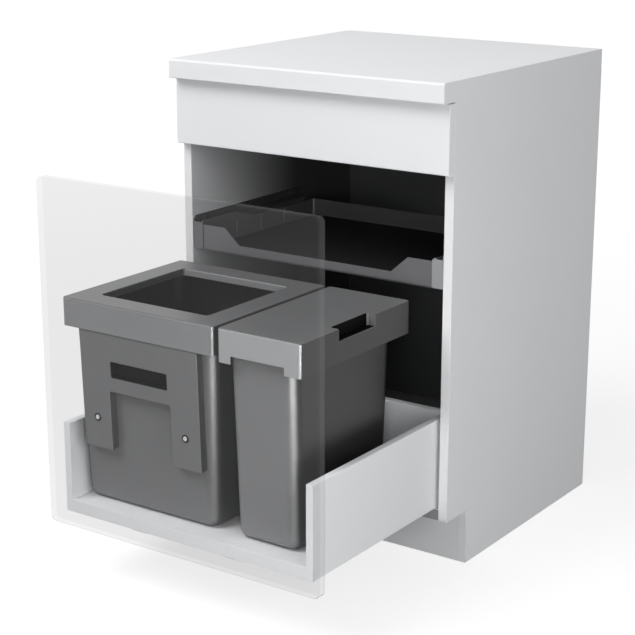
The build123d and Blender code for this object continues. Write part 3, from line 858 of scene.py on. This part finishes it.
def addPin(x, front, z):  # a ring, a groove, and a head with a dimple
    clearSelection()
    inset = bpy.ops.mesh.inset
    radius, slope = pinShape["radius"], pinShape["grooveSlope"]
    place = (x, front + pinShape["thick"] / 2, z)
    bpy.ops.mesh.primitive_cylinder_add(
        vertices=pinShape["sides"], radius=radius, depth=pinShape["thick"],
        location=place, rotation=(math.pi / 2, 0, 0),
    )
    pin = bpy.context.object
    bpy.ops.object.transform_apply(location=True, rotation=True, scale=True)
    pick(pin, "faces", facing((0, -1, 0)))
    inset(thickness=pinShape["ring"])
    inset(thickness=slope, depth=-pinShape["groove"])
    inset(thickness=radius - pinShape["ring"] - pinShape["head"] - 2 * slope)
    inset(thickness=slope, depth=pinShape["groove"])
    inset(thickness=pinShape["head"] - pinShape["dimple"])
    inset(thickness=pinShape["dimpleSlope"], depth=-pinShape["dimpleDepth"])
    pick(pin, "edges", lambda edge: near(middleOf(edge).y, front) and sharp(80)(edge))
    bevel(pinShape["edge"], pinShape["edgeSteps"])
    objectMode()
    return pin


def makePins():
    low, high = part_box("handle_pins")
    middleZ = (low.z + high.z) / 2
    middles = (low.x + pinShape["radius"], high.x - pinShape["radius"])
    piece = joinAll([addPin(x, low.y, middleZ) for x in middles], "platePins")
    finishPiece(piece, "large_bin", "pin", ["handle_pins"])

    def aroundHead(face):
        away = min(math.hypot(face.center.x - x, face.center.z - middleZ) for x in middles)
        return away > pinShape["head"] + 2 * slack

    dressWhere(piece, "dark", aroundHead)


makeHandlePlate()
makeGripPocket()
makePins()

# organiser tray

trayShape = {
    "corner": 0.008, "cornerSteps": 6, "foot": 0.006, "footSteps": 5, "wall": 0.0025,
    "drop": 0.006, "cutHigh": 0.213, "cutLow": 0.171, "cutFloor": 0.560,
    "stepStart": 0.110, "stepEnd": 0.173, "rear": 0.578, "sideFrom": 0.02, "lipRound": 0.0007, "lipSteps": 2,
    "ribs": 3, "ribStart": 0.112, "ribPitch": 0.080, "ribWidth": 0.003, "ribDepth": 0.002, "ribSink": 0.0005,
    "ribRound": 0.0008, "ribSteps": 3,
}


def cutTrayFront(piece, high):  # cut down between two slopes
    isFront = facing((0, -1, 0), 0.99)
    top = high.z - trayShape["drop"]
    cutFloor = trayShape["cutFloor"]
    fall = high.z - cutFloor
    run = trayShape["cutHigh"] - trayShape["cutLow"]

    def inCut(face):
        middle = middleOf(face)
        height = (middle.z - cutFloor) / fall
        return isFront(face) and height > 0 and abs(middle.x) < trayShape["cutLow"] + height * run

    bisect(piece, isFront, (0, 0, top), (0, 0, 1))
    erase(piece, "faces", lambda face: isFront(face) and middleOf(face).z > top)
    bisect(piece, isFront, (0, 0, cutFloor), (0, 0, 1))
    for side in (-1, 1):
        bisect(piece, isFront, (side * trayShape["cutLow"], 0, cutFloor), (fall, 0, -side * run))
    erase(piece, "faces", inCut)


def cutTrayRear(piece, low, high):  # the rear half is lower, with a slope from the high front part
    start, end = low.y + trayShape["stepStart"], low.y + trayShape["stepEnd"]
    rear = trayShape["rear"]
    fall = high.z - rear

    def isWall(face):
        return middleOf(face).y > start - trayShape["sideFrom"] and abs(face.normal.z) < 0.5

    def inStep(face):
        middle = middleOf(face)
        share = (high.z - middle.z) / fall
        return middle.z > rear and middle.y > start + share * (end - start)

    bisect(piece, isWall, (0, 0, rear), (0, 0, 1))
    bisect(piece, isWall, (0, start, high.z), (0, fall, end - start))
    erase(piece, "faces", inStep)


def addRib(side, step, low, high):  # one rib on the inside of a side wall
    inner = side * (high.x - trayShape["wall"])
    xs = sorted((inner + side * trayShape["ribSink"], inner - side * trayShape["ribDepth"]))
    y = low.y + trayShape["ribStart"] + step * trayShape["ribPitch"]
    foot = low.z + trayShape["wall"] + trayShape["foot"]
    top = trayShape["rear"] - trayShape["wall"]
    rib = addBlock("rib", (xs[0], y, foot), (xs[1], y + trayShape["ribWidth"], top))
    pick(rib, "edges", lambda edge: runsAlong(edge, "Z") and abs(middleOf(edge).x) < abs(inner))
    bevel(trayShape["ribRound"], trayShape["ribSteps"])
    objectMode()
    return rib


def makeTray():
    low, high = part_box("tray_shell")
    piece = addBlock("organiserTray", low, high)
    erase(piece, "faces", facing((0, 0, 1)))
    pick(piece, "edges", lambda edge: runsAlong(edge, "Z"))
    bevel(trayShape["corner"], trayShape["cornerSteps"])
    pick(piece, "edges", lambda edge: near(middleOf(edge).z, low.z) and sharp(60)(edge))
    bevel(trayShape["foot"], trayShape["footSteps"])
    cutTrayFront(piece, high)
    cutTrayRear(piece, low, high)
    giveWall(piece, trayShape["wall"])
    lipFrom = trayShape["cutFloor"] - 0.001
    pick(piece, "edges", lambda edge: sharp(70)(edge) and middleOf(edge).z > lipFrom)
    bevel(trayShape["lipRound"], trayShape["lipSteps"])
    ribs = [addRib(side, step, low, high) for side in (-1, 1) for step in range(trayShape["ribs"])]
    piece = joinAll([piece, *ribs], "organiserTray")
    finishPiece(piece, "tray", "tray", ["tray_shell"])


makeTray()

# end caps of the tray's runners

endCapShape = {
    "inner": 0.258, "outer": 0.2812, "front": -0.0795, "depth": 0.0018, "low": 0.543, "high": 0.5955,
    "corner": 0.003, "cornerSteps": 4, "round": 0.0005, "roundSteps": 2,
}


def makeEndCap(name, side, finishName):
    xs = sorted((side * endCapShape["inner"], side * endCapShape["outer"]))
    front, back = endCapShape["front"], endCapShape["front"] + endCapShape["depth"]
    piece = addBlock(name, (xs[0], front, endCapShape["low"]), (xs[1], back, endCapShape["high"]))
    pick(piece, "edges", lambda edge: runsAlong(edge, "Y"))
    bevel(endCapShape["corner"], endCapShape["cornerSteps"])
    pick(piece, "edges", lambda edge: near(middleOf(edge).y, front) and sharp(60)(edge))
    bevel(endCapShape["round"], endCapShape["roundSteps"])
    finishPiece(piece, "tray", finishName)


makeEndCap("runnerCapRight", 1, "bracket")
makeEndCap("runnerCapLeft", -1, "tray")

# studio

studio = {
    "camera": (1.7220, -2.5319, 1.2946), "azimuth": 34.881, "pitch": 15.800, "lens": 94.46, "sensor": 36,
    "ambient": 0.32, "floorSize": 60, "floorZ": -0.001, "floorTone": 0.32, "floorRoughness": 0.9,
    "floorGlow": 0.76, "farGlow": 0.92, "nearAt": 0.6, "farAt": 4.5, "clipEnd": 100,
}

keyLamp = {"place": (-1.40, -2.30, 3.50), "aim": (0, -0.1, 0.5), "size": (2.2, 2.2), "power": 108}
sideLamp = {"place": (2.70, -1.25, 1.30), "aim": (0.2, -0.1, 0.5), "size": (1.1, 1.6), "power": 24}
cornerLamp = {"place": (0.95, -1.45, 0.52), "aim": (0.20, -0.42, 0.40), "size": (0.12, 1.0), "power": 5}
glintLamp = {"place": (0.80, -0.98, 0.41), "aim": (0.22, -0.44, 0.36), "size": (0.7, 0.9), "power": 54}


rayKinds = ("Camera", "Glossy", "Transmission")


def seenDirectly(tree):  # 1 for camera, glossy and transmission rays
    path = tree.nodes.new("ShaderNodeLightPath")
    camera, glossy, through = (Wire(tree, path.outputs[f"Is {kind} Ray"]) for kind in rayKinds)
    return camera + glossy + through


def addFloor():  # pale paper that keeps the shadow and glows white to the camera
    clearSelection()
    bpy.ops.mesh.primitive_plane_add(size=studio["floorSize"], location=(0, 0, studio["floorZ"]))
    floor = bpy.context.object
    floor.name = "floor"
    tone = Finish("floorPaper", Base_Color=(studio["floorTone"],) * 3)
    tone.set(Roughness=studio["floorRoughness"], Specular_IOR_Level=0)
    away = tone.node("VectorMath", {"operation": "LENGTH"}, Vector=tone.place)["Value"]
    limits = {"From_Min": studio["nearAt"], "From_Max": studio["farAt"]}
    far = tone.node("MapRange", {"interpolation_type": "SMOOTHSTEP"}, Value=away, **limits)["Result"]
    glow = tone.blend(far, (studio["floorGlow"],) * 3, (studio["farGlow"],) * 3)
    tone.set(Emission_Color=glow, Emission_Strength=seenDirectly(tone.tree))
    floor.data.materials.append(tone.material)


def addAir():
    world = bpy.data.worlds.new("studioAir")
    bpy.context.scene.world = world
    world.use_nodes = True
    back = world.node_tree.nodes["Background"]
    back.inputs["Color"].default_value = (1, 1, 1, 1)
    ambient = studio["ambient"]
    plug(world.node_tree, back.inputs["Strength"], ambient + (1 - ambient) * seenDirectly(world.node_tree))


def addLamp(name, place, aim, size, power, onlyGlint=False):  # onlyGlint: highlights and no light
    bpy.ops.object.light_add(type="AREA", location=place)
    lamp = bpy.context.object
    lamp.name = name
    lamp.data.shape = "RECTANGLE"
    lamp.data.size, lamp.data.size_y = size
    lamp.data.energy = power
    lamp.rotation_mode = "QUATERNION"
    lamp.rotation_quaternion = (Vector(aim) - lamp.location).to_track_quat("-Z", "Y")
    lamp.visible_camera = False
    lamp.visible_diffuse = not onlyGlint


def addCamera():
    turn = (math.radians(90 - studio["pitch"]), 0, math.radians(studio["azimuth"]))
    bpy.ops.object.camera_add(location=studio["camera"], rotation=turn)
    camera = bpy.context.object
    camera.data.lens = studio["lens"]
    camera.data.sensor_width = studio["sensor"]
    camera.data.clip_end = studio["clipEnd"]
    bpy.context.scene.camera = camera


addFloor()
addAir()
addLamp("keyLamp", **keyLamp)
addLamp("sideLamp", **sideLamp)
addLamp("cornerLamp", **cornerLamp)
addLamp("glintLamp", **glintLamp, onlyGlint=True)
addCamera()
bpy.context.scene.view_settings.view_transform = "Standard"
print("studio ready")
